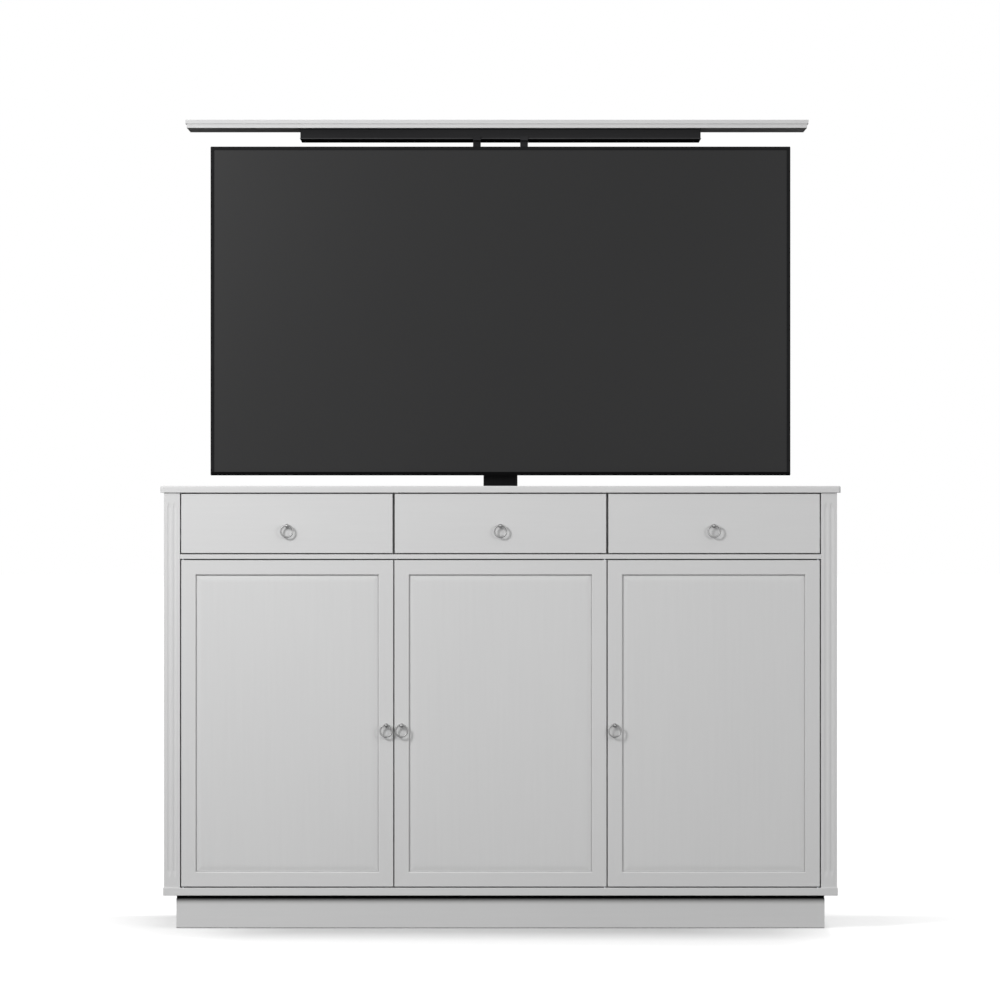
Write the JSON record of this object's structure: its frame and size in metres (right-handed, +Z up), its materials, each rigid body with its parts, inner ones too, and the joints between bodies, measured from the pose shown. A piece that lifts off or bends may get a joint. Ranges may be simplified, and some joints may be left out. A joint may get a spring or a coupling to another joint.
{
  "type": "tv lift cabinet",
  "caption": "Light grey painted sideboard with knobbed drawers over raised-panel doors, and a column lift that raises a television and its floating lid.",
  "frame": {"origin": "centre of the whole object's footprint, on the floor", "axes": "+Z up, -Y towards the doors and drawers (front), +X to the viewer's right"},
  "size_m": [1.402, 0.518, 1.6844],
  "materials": {
    "grey_paint": "satin sprayed paint, light grey",
    "inside_board": "matt painted board",
    "drawer_wood": "clear lacquered birch",
    "knob_nickel": "satin nickel",
    "zinc_steel": "zinc plated",
    "grey_plastic": "moulded",
    "glide_plastic": "moulded",
    "black_steel": "black powder coat",
    "black_alloy": "black anodised",
    "black_board": "black painted board",
    "motor_enamel": "enamel",
    "black_plastic": "fine texture",
    "tv_picture_panel": "anti-glare"
  },
  "bodies": {
    "cabinet": {"top_board": "grey_paint", "side_panel_left": "grey_paint", "side_panel_right": "grey_paint", "pilaster_left": "grey_paint", "pilaster_right": "grey_paint", "partitions": "inside_board", "drawer_rail": "grey_paint", "deck_boards": "inside_board", "bottom_board": "grey_paint", "plinth_boards": "grey_paint", "well_panel": "inside_board", "back_panel": "inside_board", "shelves": "inside_board", "shelf_battens": "inside_board", "runner_packers": "inside_board", "cabinet_runners": "zinc_steel", "hinge_pivots": "zinc_steel", "door_catches": "grey_plastic", "lift_base_plate": "black_steel", "lift_outer_column": "black_alloy", "outer_guide_strips": "glide_plastic", "lift_motor": "motor_enamel", "lift_control_box": "black_plastic"},
    "lift_middle_stage": {"lift_middle_column": "black_alloy", "middle_guide_strips": "glide_plastic"},
    "lift_top_stage": {"lift_inner_column": "black_alloy", "head_bracket": "black_steel", "lid_support_arms": "black_steel", "tv_mount_plate": "black_steel", "tv_bracket_rails": "black_steel", "lid_platform": "black_board", "lid_panel": "grey_paint", "tv_frame": "black_plastic", "tv_screen": "tv_picture_panel", "tv_back_pan": "black_steel", "tv_rear_cover": "black_plastic"},
    "drawer_left": {"drawer_left_front": "grey_paint", "drawer_left_box": "drawer_wood", "drawer_left_runners": "zinc_steel", "drawer_left_knob": "knob_nickel"},
    "drawer_middle": {"drawer_middle_front": "grey_paint", "drawer_middle_box": "drawer_wood", "drawer_middle_runners": "zinc_steel", "drawer_middle_knob": "knob_nickel"},
    "drawer_right": {"drawer_right_front": "grey_paint", "drawer_right_box": "drawer_wood", "drawer_right_runners": "zinc_steel", "drawer_right_knob": "knob_nickel"},
    "door_left": {"door_left_frame": "grey_paint", "door_left_panel": "grey_paint", "door_left_knob": "knob_nickel", "door_left_fittings": "zinc_steel"},
    "door_middle": {"door_middle_frame": "grey_paint", "door_middle_panel": "grey_paint", "door_middle_knob": "knob_nickel", "door_middle_fittings": "zinc_steel"},
    "door_right": {"door_right_frame": "grey_paint", "door_right_panel": "grey_paint", "door_right_knob": "knob_nickel", "door_right_fittings": "zinc_steel"}
  },
  "joints": [
    {"name": "drawer_left_slide", "type": "slide", "parent": "cabinet", "child": "drawer_left", "axis": [0, -1, 0], "range_m": [0, 0.19]},
    {"name": "drawer_middle_slide", "type": "slide", "parent": "cabinet", "child": "drawer_middle", "axis": [0, -1, 0], "range_m": [0, 0.19]},
    {"name": "drawer_right_slide", "type": "slide", "parent": "cabinet", "child": "drawer_right", "axis": [0, -1, 0], "range_m": [0, 0.19]},
    {"name": "door_left_hinge", "type": "hinge", "parent": "cabinet", "child": "door_left", "pos_m": [-0.6539, -0.237, 0.423], "axis": [0, 0, -1], "range_deg": [0, 95]},
    {"name": "door_middle_hinge", "type": "hinge", "parent": "cabinet", "child": "door_middle", "pos_m": [0.2145, -0.237, 0.423], "axis": [0, 0, 1], "range_deg": [0, 95]},
    {"name": "door_right_hinge", "type": "hinge", "parent": "cabinet", "child": "door_right", "pos_m": [0.6539, -0.237, 0.423], "axis": [0, 0, 1], "range_deg": [0, 95]},
    {"name": "lift_middle_slide", "type": "slide", "parent": "cabinet", "child": "lift_middle_stage", "axis": [0, 0, 1], "range_m": [-0.3819, 0]},
    {"name": "lift_top_slide", "type": "slide", "parent": "lift_middle_stage", "child": "lift_top_stage", "axis": [0, 0, 1], "range_m": [-0.3819, 0]}
  ],
  "couplings": [
    {"joint": "lift_middle_slide", "follows": "lift_top_slide", "ratio": 1}
  ]
}
